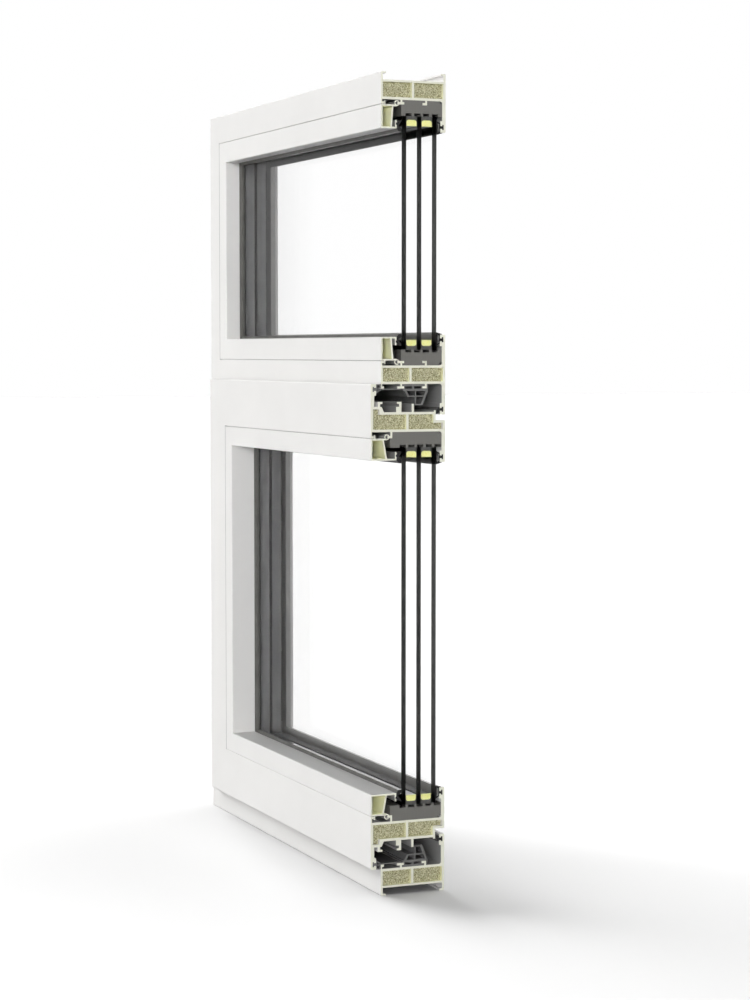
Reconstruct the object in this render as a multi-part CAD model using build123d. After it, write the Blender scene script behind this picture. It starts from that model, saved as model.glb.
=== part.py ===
from build123d import *
import os

# A cut-away sample of a tilt and turn window: a fixed light above a tilt and turn sash.
# The left side is whole, and the right side is sawn through to show the hollow profiles.
# Lengths are in millimetres. X runs from the left edge to the saw cut, Y from the frame's
# room face outwards, Z up. A section is drawn in (u, v): u is Y, v is the distance from
# the edge of the ring that the piece follows, towards the middle of the light.

# Whole window
WIDTH = 636.0
HEIGHT = 1000.0
FRAME_DEPTH = 85.0
TRANSOM_LEVEL = 636.75
SASH_PROUD = 13.3
SASH_LAP = 5.5

# Walls and edges shared by the profiles
FACE_WALL = 2.5
WEB = 3.0
FIT = 0.3
EDGE_RADIUS = 1.5
SEAM_RADIUS = 0.5

# Outer frame and transom
FOOT_HEIGHT = 9.5
FOOT_LIP = 6.5
FOOT_LIP_THICKNESS = 2.0
FRAME_CHAMBER = 18.0
FRAME_RIB = 40.5
TRANSOM_CHAMBER = 16.5
TRANSOM_RIB = 37.5
LIP_WALL = 1.5
HOOK_REACH = 4.0
LUG_HEIGHT = 5.5
LUG_FOOT = 2.8
LUG_STEM = 2.5
LUG_OVERHANG = 4.0
LUG_TAIL = 2.5
BEAD_LUG_SETBACK = 1.5
SEAL_LUG_SETBACK = 20.0
SEAL_LUG_FOOT = 3.5

# Outer legs with their gasket grooves, on the frame, the transom and the sash
LEG_WALL = 4.5
LEG_HEIGHT = 37.5
LEG_COVE = 3.0
GROOVE_LIP = 2.5
GROOVE_LIP_LENGTH = 14.0
GROOVE_FROM_TIP = 6.3
GROOVE_MOUTH = 3.6
GROOVE_ROOT = 6.4
GROOVE_ROOT_DEPTH = 2.0

# Sash
SASH_WEB_LEVEL = 34.0
SASH_CHAMBER = 18.0
SASH_RIB = 33.5
SASH_SHELF = 27.5
SASH_STEP_GAP = 5.5
SASH_STEP_LIP = 2.0
SASH_SLOT = 7.0
SASH_LUG_HEIGHT = 7.5
SASH_BEAD_LUG_SETBACK = 14.5
GEAR_GROOVE_SETBACK = 9.3
GEAR_GROOVE_WIDTH = 31.0
GEAR_SHELF = 5.0
GEAR_SLOPE = 3.0
GEAR_STEP = 7.0
GEAR_WALL = 3.0
GEAR_WALL_HEIGHT = 6.0
GEAR_LIP = 3.0
GEAR_LIP_THICKNESS = 2.5
SEAL_FIN_SETBACK = 17.5
SEAL_FIN_HEIGHT = 10.0

# Glazing units
PANE = 6.0
GLASS_GAP = 14.0
GLASS_CLEARANCE = 19.0
SPACER_SETBACK = 4.5
SPACER_HEIGHT = 7.5
SPACER_SIDE_GAP = 0.4
SPACER_RADIUS = 3.0
SPACER_WALL = 0.5
SPACER_FIT = 0.1

# Glazing beads
BEAD_EDGE = 34.5
BEAD_SEAM = 0.45
BEAD_WALL = 2.0
BEAD_LEG = 1.5
BEAD_LEG_REACH = 1.2
BEAD_HOLDER_LENGTH = 10.0
BEAD_NOTCH = 2.6
BEAD_NOTCH_FROM_EDGE = 5.7
BEAD_NOTCH_DEPTH = 1.0
FIXED_BEAD_BACK_INSET = 4.0
FIXED_BEAD_FRONT_INSET = 6.5
SASH_BEAD_BACK_INSET = 17.0
SASH_BEAD_FRONT_INSET = 12.0
CLIP_GAP = 0.7
CLIP_WALL = 1.3

# Foam in the chambers
FOAM_SETBACK = 5.0

# Packers under the glazing units
PACKER_LENGTH = 100.0
FIXED_PACKER_OVERHANG = 0.5
SASH_PACKER_OVERHANG = 15.0
PACKER_GAP = 8.2
PACKER_GAP_DEPTH = 3.4
PACKER_PITCH = 11.6
FIXED_PACKER_FIRST_GAP = 5.5
SASH_PACKER_FIRST_GAP = 12.6

# Gaskets
GASKET_WALL = 1.4
OUTER_GASKET = 5.0
BEAD_GASKET = 6.5
LIP_RISE = 3.5
LIP_FLAT = 3.5
CENTRE_BASE = 8.5
CENTRE_WAIST = 15.5
CENTRE_LAP = 1.7
CENTRE_RIB_GAP = 1.5
CENTRE_TIP_WIDTH = 10.0
COVER_STRIP = 1.5

# Places across the depth, from the frame's room face
LEG_INSIDE = FRAME_DEPTH - LEG_WALL
LEG_LIP = LEG_INSIDE - GROOVE_LIP
GLASS_END = LEG_LIP - OUTER_GASKET
GLASS_START = GLASS_END - 3 * PANE - 2 * GLASS_GAP
BEAD_HOLDER = GLASS_START - BEAD_GASKET
BEAD_LUG = GLASS_START - BEAD_LUG_SETBACK
SASH_BEAD_LUG = GLASS_START - SASH_BEAD_LUG_SETBACK
SEAL_LUG = LEG_LIP - SEAL_LUG_SETBACK
SEAL_FIN = SEAL_LUG - SEAL_FIN_SETBACK
SASH_STEP = LEG_LIP - SASH_STEP_GAP
SASH_ROOM = -SASH_PROUD
SASH_LIP = SASH_ROOM + LEG_WALL + GROOVE_LIP
GEAR_START = SASH_ROOM + GEAR_GROOVE_SETBACK
GEAR_END = GEAR_START + GEAR_GROOVE_WIDTH
CENTRE_RIB = SEAL_FIN + WEB + CENTRE_RIB_GAP

# Levels from the edge of a profile
FRAME_FACE = FOOT_HEIGHT + FACE_WALL + FRAME_CHAMBER + WEB
TRANSOM_HALF = TRANSOM_CHAMBER / 2 + WEB
SASH_FACE = SASH_WEB_LEVEL + WEB + SASH_CHAMBER + WEB
SASH_OFFSET = LUG_HEIGHT - SASH_LAP
SASH_STEP_LEVEL = LEG_HEIGHT + SASH_SLOT - SASH_OFFSET
SEAL_FIN_LEVEL = SASH_WEB_LEVEL - SEAL_FIN_HEIGHT
GROOVE_LEVEL = LEG_HEIGHT - GROOVE_FROM_TIP
BEAD_NOTCH_LEVEL = BEAD_EDGE - BEAD_NOTCH_FROM_EDGE
CENTRE_TIP = SEAL_FIN_LEVEL + SASH_OFFSET + CENTRE_LAP
CLIP_RADIUS = LUG_HEIGHT - LUG_FOOT / 2 - CLIP_GAP

# Rings that the pieces follow: left, bottom and top edges
FRAME_RING = (0.0, 0.0, HEIGHT)
UPPER_RING = (FRAME_FACE, TRANSOM_LEVEL + TRANSOM_HALF, HEIGHT - FRAME_FACE)
LOWER_RING = (FRAME_FACE, FRAME_FACE, TRANSOM_LEVEL - TRANSOM_HALF)


def inset(ring, distance):
    """A ring moved towards the middle of its light."""
    left, bottom, top = ring
    return (left + distance, bottom + distance, top - distance)


SASH_RING = inset(LOWER_RING, SASH_OFFSET)
SASH_LIGHT_RING = inset(SASH_RING, SASH_FACE)
UPPER_UNIT_RING = inset(UPPER_RING, GLASS_CLEARANCE)
LOWER_UNIT_RING = inset(SASH_LIGHT_RING, GLASS_CLEARANCE)
SIDES = ("top", "left", "bottom")


def area(u0, u1, v0, v1):
    """A rectangle of a section, from corner to corner."""
    return Pos((u0 + u1) / 2, (v0 + v1) / 2) * Rectangle(u1 - u0, v1 - v0)


def outline(*points):
    """A straight-sided area of a section."""
    return make_face(Polyline(*points, close=True))


def shifted(section, u, v):
    """A section moved in its own plane."""
    return Pos(u, v) * section


def flipped_v(section):
    """A section turned over about v = 0."""
    return mirror(section, Plane.XZ)


def rounded(section, radius, *corners):
    """A section with a radius at the corners nearest to the given places."""
    chosen = []
    for u, v in corners:
        chosen.append(min(section.vertices(), key=lambda corner: (corner.X - u) ** 2 + (corner.Y - v) ** 2))
    return fillet(chosen, radius)


def slab(points, y0, y1):
    """A block on an outline of (x, z) corners, between two depths."""
    face = Plane.XZ * make_face(Polyline(*points, close=True))
    return Pos(0, y1, 0) * extrude(face, amount=y1 - y0)


def bar(section, ring, side):
    """A section drawn along one side of a ring, as far as the saw cut."""
    left, bottom, top = ring
    if side == "top":
        plane = Plane(origin=(WIDTH, 0, top), x_dir=(0, 1, 0), z_dir=(-1, 0, 0))
        return extrude(plane * section, amount=WIDTH - left)
    if side == "bottom":
        plane = Plane(origin=(left, 0, bottom), x_dir=(0, 1, 0), z_dir=(1, 0, 0))
        return extrude(plane * section, amount=WIDTH - left)
    plane = Plane(origin=(left, 0, top), x_dir=(0, 1, 0), z_dir=(0, 0, -1))
    return extrude(plane * section, amount=top - bottom)


def mitre_field(ring, side):
    """The part of a ring's plane that one side keeps, between its mitre lines."""
    left, bottom, top = ring
    middle = (left + (top - bottom) / 2, (top + bottom) / 2)
    corners = {
        "top": [(left, top), (WIDTH, top), (WIDTH, middle[1]), middle],
        "left": [(left, bottom), (left, top), middle],
        "bottom": [(left, bottom), (WIDTH, bottom), (WIDTH, middle[1]), middle],
    }
    return slab(corners[side], SASH_ROOM, FRAME_DEPTH)


def rail(section, ring, side):
    """One straight rail with mitred corners."""
    return bar(section, ring, side) & mitre_field(ring, side)


def strip_round(section, ring):
    """One piece that runs round the three whole sides of a ring."""
    return rail(section, ring, "top") + rail(section, ring, "left") + rail(section, ring, "bottom")


# Sections of the frame, the transom and the sash


def grooved_end():
    """The end of a wall with its gasket groove: outer face at u = 0, tip at v = 0."""
    thickness = LEG_WALL + GROOVE_LIP
    wall = area(0, thickness, 0, GROOVE_LIP_LENGTH)
    low = GROOVE_FROM_TIP - GROOVE_MOUTH / 2
    mouth = area(LEG_WALL, thickness, low, low + GROOVE_MOUTH)
    low = GROOVE_FROM_TIP - GROOVE_ROOT / 2
    root = area(LEG_WALL - GROOVE_ROOT_DEPTH, LEG_WALL, low, low + GROOVE_ROOT)
    return wall - mouth - root


def groove_root():
    """The foot of a gasket in such a groove, drawn like grooved_end."""
    thickness = LEG_WALL + GROOVE_LIP
    half_neck = GROOVE_MOUTH / 2 - FIT
    half_root = GROOVE_ROOT / 2 - FIT
    level = GROOVE_FROM_TIP
    neck = area(LEG_WALL - FIT, thickness, level - half_neck, level + half_neck)
    foot = area(LEG_WALL - GROOVE_ROOT_DEPTH, LEG_WALL - FIT, level - half_root, level + half_root)
    return neck + foot


def at_leg(section):
    """A section drawn from a wall's tip, turned to the outer leg of a rebate."""
    return Pos(FRAME_DEPTH, LEG_HEIGHT) * flipped_v(mirror(section, Plane.YZ))


def outer_leg():
    """The leg outside the glass, with its groove and the cove at its root."""
    leg = area(LEG_INSIDE, FRAME_DEPTH, -WEB, LEG_HEIGHT - GROOVE_LIP_LENGTH)
    cove = area(LEG_INSIDE - LEG_COVE, LEG_INSIDE, 0, LEG_COVE)
    cove = cove - shifted(Circle(LEG_COVE), LEG_INSIDE - LEG_COVE, LEG_COVE)
    return leg + cove + at_leg(grooved_end())


def bead_lug(stem, height, tail):
    """The lug that a bead clips on: a stem with a foot towards the room."""
    foot = area(stem - LUG_OVERHANG, stem + LUG_STEM + tail, height - LUG_FOOT, height)
    return area(stem, stem + LUG_STEM, -WEB, height) + foot


def seal_lug():
    """The lug that holds the far side of the centre gasket."""
    end = SEAL_LUG + LUG_STEM
    foot = area(SEAL_LUG - SEAL_LUG_FOOT, end, LUG_HEIGHT - LUG_FOOT, LUG_HEIGHT)
    return area(SEAL_LUG, end, -WEB, LUG_HEIGHT) + foot


def room_lip(room, height):
    """The end of a room wall, with the small hook behind it."""
    wall = area(room, room + LIP_WALL, -WEB, height)
    return wall + area(room, room + HOOK_REACH, height - LUG_FOOT, height)


def frame_rebate():
    """What stands on the inner web of the frame and the transom."""
    lugs = bead_lug(BEAD_LUG, LUG_HEIGHT, LUG_TAIL) + seal_lug()
    return room_lip(0, LUG_HEIGHT) + lugs + outer_leg()


def chambers(v0, v1, rib):
    """The two chambers of a frame profile, with a rib between them."""
    room_side = area(FACE_WALL, rib, v0, v1)
    outer_side = area(rib + WEB, FRAME_DEPTH - WEB, v0, v1)
    return room_side + outer_side


def frame_chambers():
    """The chambers of head, jamb and sill."""
    low = FOOT_HEIGHT + FACE_WALL
    return chambers(low, low + FRAME_CHAMBER, FRAME_RIB)


def transom_chambers():
    """The chambers of the transom, about its middle."""
    return chambers(-TRANSOM_CHAMBER / 2, TRANSOM_CHAMBER / 2, TRANSOM_RIB)


def frame_section():
    """Head, jamb and sill: fixing feet, two chambers and the rebate."""
    body = area(0, FRAME_DEPTH, FOOT_HEIGHT, FRAME_FACE) - frame_chambers()
    room_foot = area(0, FACE_WALL, 0, FOOT_HEIGHT) + area(0, FOOT_LIP, 0, FOOT_LIP_THICKNESS)
    outer_foot = area(FRAME_DEPTH - WEB, FRAME_DEPTH, 0, FOOT_HEIGHT)
    outer_foot = outer_foot + area(FRAME_DEPTH - FOOT_LIP, FRAME_DEPTH, 0, FOOT_LIP_THICKNESS)
    section = body + room_foot + outer_foot + shifted(frame_rebate(), 0, FRAME_FACE)
    tip = FRAME_FACE + LEG_HEIGHT
    section = rounded(section, EDGE_RADIUS, (0, 0), (FRAME_DEPTH, 0), (FRAME_DEPTH, tip))
    return rounded(section, SEAM_RADIUS, (0, FRAME_FACE + LUG_HEIGHT), (LEG_LIP, tip))


def transom_section():
    """The rail between the lights: two chambers with a rebate above and below."""
    body = area(0, FRAME_DEPTH, -TRANSOM_HALF, TRANSOM_HALF) - transom_chambers()
    upper = shifted(frame_rebate(), 0, TRANSOM_HALF)
    section = body + upper + flipped_v(upper)
    tip = TRANSOM_HALF + LEG_HEIGHT
    lip = TRANSOM_HALF + LUG_HEIGHT
    section = rounded(section, EDGE_RADIUS, (FRAME_DEPTH, tip), (FRAME_DEPTH, -tip))
    return rounded(section, SEAM_RADIUS, (0, lip), (0, -lip), (LEG_LIP, tip), (LEG_LIP, -tip))


def sash_chambers():
    """The two chambers of the sash: one rises behind the room wall, one steps down outside."""
    high = SASH_WEB_LEVEL + WEB
    low = high + SASH_CHAMBER
    room_wall = SASH_ROOM + WEB
    room_side = area(room_wall, SASH_RIB, high, low)
    room_side = room_side + area(room_wall, GEAR_START + GEAR_SHELF - WEB, SASH_SHELF + WEB, high)
    outer_side = area(SASH_RIB + WEB, SASH_STEP - WEB, high, low)
    outer_side = outer_side + area(SASH_STEP - WEB, FRAME_DEPTH - WEB, SASH_STEP_LEVEL + WEB, low)
    return room_side + outer_side


def gear_groove():
    """The lipped walls of the groove that takes the locking gear."""
    top = SASH_SHELF - GEAR_WALL_HEIGHT
    lip = top + GEAR_LIP_THICKNESS
    near = area(GEAR_START, GEAR_START + GEAR_WALL, top, SASH_SHELF + WEB)
    near = near + area(GEAR_START, GEAR_START + GEAR_WALL + GEAR_LIP, top, lip)
    far = area(GEAR_END - GEAR_WALL, GEAR_END, top, SASH_SHELF)
    far = far + area(GEAR_END - GEAR_WALL - GEAR_LIP, GEAR_END, top, lip)
    return near + far + area(GEAR_END - GEAR_STEP, GEAR_END, SASH_SHELF, SASH_WEB_LEVEL + WEB)


def sash_section():
    """The sash: flange over the frame, gear groove, two chambers, step and glass rebate."""
    flange = area(SASH_ROOM, SASH_ROOM + LEG_WALL, GROOVE_LIP_LENGTH, SASH_FACE)
    flange = flange + shifted(grooved_end(), SASH_ROOM, 0)
    shelf_end = GEAR_START + GEAR_SHELF
    shelf = outline(
        (SASH_ROOM, SASH_SHELF),
        (shelf_end, SASH_SHELF),
        (shelf_end + GEAR_SLOPE, SASH_WEB_LEVEL),
        (shelf_end + GEAR_SLOPE, SASH_FACE),
        (SASH_ROOM, SASH_FACE),
    )
    body = area(SASH_ROOM, SASH_STEP, SASH_WEB_LEVEL, SASH_FACE)
    body = body + area(SASH_STEP - WEB, FRAME_DEPTH, SASH_STEP_LEVEL, SASH_FACE)
    end_lip = area(SASH_STEP - FACE_WALL, SASH_STEP, SASH_WEB_LEVEL - SASH_STEP_LIP, SASH_WEB_LEVEL)
    fin = area(SEAL_FIN, SEAL_FIN + WEB, SEAL_FIN_LEVEL, SASH_WEB_LEVEL + WEB)
    rebate = room_lip(SASH_ROOM, SASH_LUG_HEIGHT) + outer_leg()
    rebate = rebate + bead_lug(SASH_BEAD_LUG, SASH_LUG_HEIGHT, 0)
    section = flange + shelf + body + end_lip + fin + gear_groove() + shifted(rebate, 0, SASH_FACE)
    section = section - sash_chambers()
    tip = SASH_FACE + LEG_HEIGHT
    corners = ((SASH_ROOM, 0), (FRAME_DEPTH, tip), (FRAME_DEPTH, SASH_STEP_LEVEL))
    section = rounded(section, EDGE_RADIUS, *corners)
    return rounded(section, SEAM_RADIUS, (SASH_ROOM, SASH_FACE + SASH_LUG_HEIGHT), (LEG_LIP, tip))


# Sections of the beads, the glazing units, the packers and the gaskets


def bead_section(room, back, front, stem, height):
    """A hollow glazing bead with its hook, its springy clip and the holder of its gasket."""
    top = height + BEAD_SEAM
    high = top + BEAD_WALL
    low = BEAD_EDGE - BEAD_WALL
    lean = (front - back) / (BEAD_EDGE - top) * BEAD_WALL
    body = outline((room, top), (back, top), (front, BEAD_EDGE), (room, BEAD_EDGE))
    hollow = outline(
        (room + BEAD_WALL, high),
        (back - BEAD_WALL + lean, high),
        (front - BEAD_WALL - lean, low),
        (room + BEAD_WALL, low),
    )
    hook = room + HOOK_REACH + FIT
    leg = area(hook, hook + BEAD_LEG, height - LUG_FOOT - BEAD_LEG_REACH, high)
    ledge = area(front - BEAD_WALL, BEAD_HOLDER, low, BEAD_EDGE)
    holder = area(BEAD_HOLDER - BEAD_WALL, BEAD_HOLDER, BEAD_EDGE - BEAD_HOLDER_LENGTH, BEAD_EDGE)
    section = body - hollow + leg + ledge + holder - bead_notch() + bead_clip(back, stem, height)
    section = rounded(section, EDGE_RADIUS, (room, BEAD_EDGE))
    return rounded(section, SEAM_RADIUS, (room, top), (BEAD_HOLDER, BEAD_EDGE))


def bead_notch():
    """The notch in a bead's holder, where its gasket is rooted."""
    half = BEAD_NOTCH / 2
    start = BEAD_HOLDER - BEAD_NOTCH_DEPTH
    return area(start, BEAD_HOLDER, BEAD_NOTCH_LEVEL - half, BEAD_NOTCH_LEVEL + half)


def bead_clip(back, stem, height):
    """The springy C behind a bead, open towards the foot of the lug that it snaps on."""
    middle = stem - LUG_OVERHANG - 2 * FIT
    level = height - LUG_FOOT / 2
    half = LUG_FOOT / 2 + FIT
    opening = area(middle, middle + 2 * CLIP_RADIUS, level - half, level + half)
    hole = shifted(Circle(CLIP_RADIUS - CLIP_WALL), middle, level)
    top = height + BEAD_SEAM
    neck = area(back - BEAD_WALL, middle, top, top + BEAD_WALL)
    return shifted(Circle(CLIP_RADIUS), middle, level) + neck - hole - opening


def spacer_outline(gap, shrink):
    """A spacer's D shape between two panes: flat to the cavity, rounded to the edge."""
    start = gap + SPACER_SIDE_GAP + shrink
    end = gap + GLASS_GAP - SPACER_SIDE_GAP - shrink
    shape = area(start, end, SPACER_SETBACK + shrink, SPACER_SETBACK + SPACER_HEIGHT - shrink)
    return fillet(shape.vertices().group_by(Axis.Y)[0], SPACER_RADIUS - shrink)


def in_both_gaps(draw):
    """A section drawn in each of the two gaps of a unit."""
    first = GLASS_START + PANE
    return draw(first) + draw(first + GLASS_GAP + PANE)


def spacer_section():
    """The thin shell of each spacer."""
    return in_both_gaps(lambda gap: spacer_outline(gap, 0) - spacer_outline(gap, SPACER_WALL))


def desiccant_section():
    """The drying core in each spacer."""
    return in_both_gaps(lambda gap: spacer_outline(gap, SPACER_WALL + SPACER_FIT))


def edge_seal(gap):
    """The sealant behind and beside one spacer."""
    fill = area(gap, gap + GLASS_GAP, 0, SPACER_SETBACK + SPACER_HEIGHT - SPACER_WALL)
    return fill - spacer_outline(gap, -SPACER_FIT)


def lug_clearance(stem, height, before, after):
    """The room round a lug, with a clearance on every side."""
    high = height - LUG_FOOT - FIT
    foot = area(stem - before - FIT, stem + LUG_STEM + after + FIT, high, height + FIT)
    return area(stem - FIT, stem + LUG_STEM + FIT, 0, height) + foot


def frame_lug_clearance():
    """The room round both lugs of the frame."""
    bead_side = lug_clearance(BEAD_LUG, LUG_HEIGHT, LUG_OVERHANG, LUG_TAIL)
    return bead_side + lug_clearance(SEAL_LUG, LUG_HEIGHT, SEAL_LUG_FOOT, 0)


def packer_section(start, first_gap, lugs):
    """A glazing packer: a block cut round the lugs, with gaps between the teeth under the unit."""
    end = LEG_INSIDE - FIT
    block = area(start, end, 0, GLASS_CLEARANCE) - area(end - LEG_COVE, end, 0, LEG_COVE)
    low = GLASS_CLEARANCE - PACKER_GAP_DEPTH
    place = start + first_gap
    while place + PACKER_GAP < end:
        block = block - area(place, place + PACKER_GAP, low, GLASS_CLEARANCE)
        place = place + PACKER_PITCH
    return block - lugs


def bead_gasket_section():
    """The gasket between bead and glass: a foot in the bead, two lips on the pane, one flat-topped."""
    spine = BEAD_HOLDER + 2 * GASKET_WALL
    reach = GLASS_START - spine
    high = BEAD_NOTCH_LEVEL - BEAD_NOTCH / 2
    body = area(BEAD_HOLDER, spine, high, BEAD_EDGE)
    back_lip = outline(
        (BEAD_HOLDER, high),
        (GLASS_START, high - reach),
        (GLASS_START, high - reach + GASKET_WALL),
        (spine, high + 2 * GASKET_WALL),
    )
    front_lip = outline(
        (BEAD_HOLDER, BEAD_EDGE),
        (spine, BEAD_EDGE - 2 * GASKET_WALL),
        (GLASS_START, BEAD_EDGE),
        (GLASS_START, BEAD_EDGE + LIP_RISE),
        (GLASS_START - LIP_FLAT, BEAD_EDGE + LIP_RISE),
    )
    return bead_notch() + body + back_lip + front_lip


def outer_gasket_section():
    """The hollow gasket between the outer leg and the glass, with a sloped apron."""
    wall = GASKET_WALL
    high = LEG_HEIGHT - GROOVE_LIP_LENGTH
    body = outline(
        (GLASS_END, high),
        (LEG_LIP, high + 2 * wall),
        (LEG_LIP, LEG_HEIGHT),
        (LEG_INSIDE, LEG_HEIGHT),
        (LEG_INSIDE, LEG_HEIGHT + wall / 2),
        (GLASS_END, LEG_HEIGHT + 2 * wall),
    )
    hollow = outline(
        (GLASS_END + wall, high + 2 * wall),
        (LEG_LIP - wall, high + 3 * wall),
        (LEG_LIP - wall, LEG_HEIGHT - wall),
        (GLASS_END + wall, LEG_HEIGHT),
    )
    return body - hollow + at_leg(groove_root())


def overlap_gasket_section():
    """The two-chamber gasket on the sash flange that closes on the frame's room face."""
    wall = GASKET_WALL
    level = GROOVE_FROM_TIP
    start = SASH_LIP
    body = outline((start, 0), (0, 0), (0, level + wall), (start, 2 * level - wall))
    upper = area(start + wall, -wall, wall, level - wall)
    lower = outline(
        (start + wall, level),
        (-wall, level),
        (-wall, level + wall / 2),
        (start + wall, level + 2 * wall),
    )
    return body - upper - lower + shifted(groove_root(), SASH_ROOM, 0)


def weather_gasket_section():
    """The outer gasket in the frame leg, with a lip on the step of the sash."""
    wall = GASKET_WALL
    level = GROOVE_LEVEL
    step = SASH_WEB_LEVEL + SASH_OFFSET
    body = area(LEG_LIP - 2 * wall, LEG_LIP, level - 2 * wall, level + 3 * wall)
    lip = outline(
        (LEG_LIP - 2 * wall, level - wall),
        (LEG_LIP - wall, level + 3 * wall),
        (SASH_STEP, step + 2 * wall),
        (SASH_STEP, step + wall),
    )
    return body + lip + at_leg(groove_root())


def centre_gasket_section():
    """The thin-walled gasket of several chambers, held between the two lugs of the frame."""
    wall = GASKET_WALL
    left = BEAD_LUG + LUG_STEM + LUG_TAIL
    right = SEAL_LUG + LUG_STEM
    base = area(left - LUG_TAIL / 2, right, 0, CENTRE_BASE) - frame_lug_clearance()
    half = (SEAL_LUG - SEAL_LUG_FOOT - left) / 2
    for place in (left, left + half):
        base = base - area(place + wall, place + half - wall, 2 * wall, CENTRE_BASE - 2 * wall)
    foot = left + CENTRE_BASE - wall
    left_wall = outline(
        (left, CENTRE_BASE - wall),
        (left + 2 * wall, CENTRE_BASE - wall),
        (foot, CENTRE_WAIST),
        (foot - 2 * wall, CENTRE_WAIST),
    )
    outside = right + FIT
    root = area(outside, outside + wall, 0, CENTRE_BASE)
    shoulder = area(right - 2 * wall, outside + wall, CENTRE_BASE - wall, CENTRE_BASE)
    tip_end = CENTRE_RIB + CENTRE_TIP_WIDTH
    right_wall = outline(
        (right - wall, CENTRE_BASE),
        (outside + wall, CENTRE_BASE),
        (tip_end, CENTRE_TIP),
        (tip_end - 2 * wall, CENTRE_TIP),
    )
    lean = (outside + wall - tip_end) / (CENTRE_TIP - CENTRE_BASE)
    waist_end = outside - lean * (CENTRE_WAIST - CENTRE_BASE)
    waist = area(foot - 2 * wall, waist_end, CENTRE_WAIST - wall, CENTRE_WAIST)
    rib = area(CENTRE_RIB, CENTRE_RIB + wall, CENTRE_BASE - wall, CENTRE_TIP)
    tip = area(SEAL_FIN + WEB + FIT, tip_end, CENTRE_TIP - wall, CENTRE_TIP)
    return base + left_wall + root + shoulder + right_wall + waist + rib + tip


def cover_strip_section():
    """The strip that closes the pocket between the frame's room lip and its bead lug."""
    return area(LIP_WALL, BEAD_LUG, LUG_HEIGHT, LUG_HEIGHT + COVER_STRIP)


# Pieces


def left_jamb():
    """The jamb, notched from its inner web inwards where the transom meets it."""
    left, low, high = LOWER_RING[0], LOWER_RING[2], UPPER_RING[1]
    end = left + LEG_HEIGHT
    notch = [(left, low), (left, high), (end, high + LEG_HEIGHT), (end, low - LEG_HEIGHT)]
    return rail(frame_section(), FRAME_RING, "left") - slab(notch, HOOK_REACH, FRAME_DEPTH)


def transom():
    """The transom, mitred to the walls and lugs of the jamb, its face set to the jamb's lip."""
    left, low, high = LOWER_RING[0], LOWER_RING[2], UPPER_RING[1]
    end = left + LEG_HEIGHT
    top = high + LEG_HEIGHT
    bottom = low - LEG_HEIGHT
    field = [(left, low), (left, high), (end, top), (WIDTH, top), (WIDTH, bottom), (end, bottom)]
    lip = left + LUG_HEIGHT
    jamb_lip = [(left, bottom), (left, top), (lip, top), (lip, bottom)]
    whole = bar(transom_section(), (left, TRANSOM_LEVEL, TRANSOM_LEVEL), "bottom")
    return (whole & slab(field, 0, FRAME_DEPTH)) - slab(jamb_lip, 0, HOOK_REACH)


def up_to(end, shape):
    """A shape cut off at one distance from the left edge."""
    corners = [(0, 0), (end, 0), (end, HEIGHT), (0, HEIGHT)]
    return shape & slab(corners, SASH_ROOM, FRAME_DEPTH)


def foam(section, ring, side):
    """The foam bars of one rail, set back from the saw cut."""
    return up_to(WIDTH - FOAM_SETBACK, rail(section, ring, side))


def transom_foam():
    """The foam bars of the transom, from the jamb's lip to short of the saw cut."""
    ring = (LOWER_RING[0] + LUG_HEIGHT, TRANSOM_LEVEL, TRANSOM_LEVEL)
    return up_to(WIDTH - FOAM_SETBACK, bar(transom_chambers(), ring, "bottom"))


def pane(ring, count):
    """One sheet of glass of a unit, counted from the room."""
    left, bottom, top = ring
    start = GLASS_START + count * (PANE + GLASS_GAP)
    return slab([(left, bottom), (WIDTH, bottom), (WIDTH, top), (left, top)], start, start + PANE)


def packers(section, ring):
    """Three packers on each rail, the last at the saw cut, and two on the upright."""
    left, bottom, top = ring
    unit_left, unit_bottom, unit_top = inset(ring, GLASS_CLEARANCE)
    blocks = []
    first = unit_left + PACKER_LENGTH / 2
    last = WIDTH - PACKER_LENGTH
    for side in ("top", "bottom"):
        whole = bar(section, ring, side)
        for start in (first, (first + last) / 2, last):
            end = start + PACKER_LENGTH
            span = [(start, bottom), (end, bottom), (end, top), (start, top)]
            blocks.append(whole & slab(span, 0, FRAME_DEPTH))
    whole = bar(section, ring, "left")
    for start in (unit_bottom + PACKER_LENGTH / 4, unit_top - PACKER_LENGTH * 5 / 4):
        end = start + PACKER_LENGTH
        span = [(left, start), (left, end), (unit_left, end), (unit_left, start)]
        blocks.append(whole & slab(span, 0, FRAME_DEPTH))
    return blocks[0] + blocks[1:]


def frame_nodes():
    """The outer frame and the transom with their foam."""
    names = {"top": "head", "left": "left_jamb", "bottom": "sill"}
    nodes = {
        "head_frame": rail(frame_section(), FRAME_RING, "top"),
        "left_jamb_frame": left_jamb(),
        "sill_frame": rail(frame_section(), FRAME_RING, "bottom"),
        "transom": transom(),
        "transom_foam": transom_foam(),
    }
    for side in SIDES:
        nodes[names[side] + "_foam"] = foam(frame_chambers(), FRAME_RING, side)
    return nodes


def sash_nodes():
    """The sash with its foam."""
    names = {"top": "sash_top_rail", "left": "sash_left_stile", "bottom": "sash_bottom_rail"}
    nodes = {}
    for side in SIDES:
        nodes[names[side]] = rail(sash_section(), SASH_RING, side)
        nodes[names[side] + "_foam"] = foam(sash_chambers(), SASH_RING, side)
    return nodes


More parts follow.
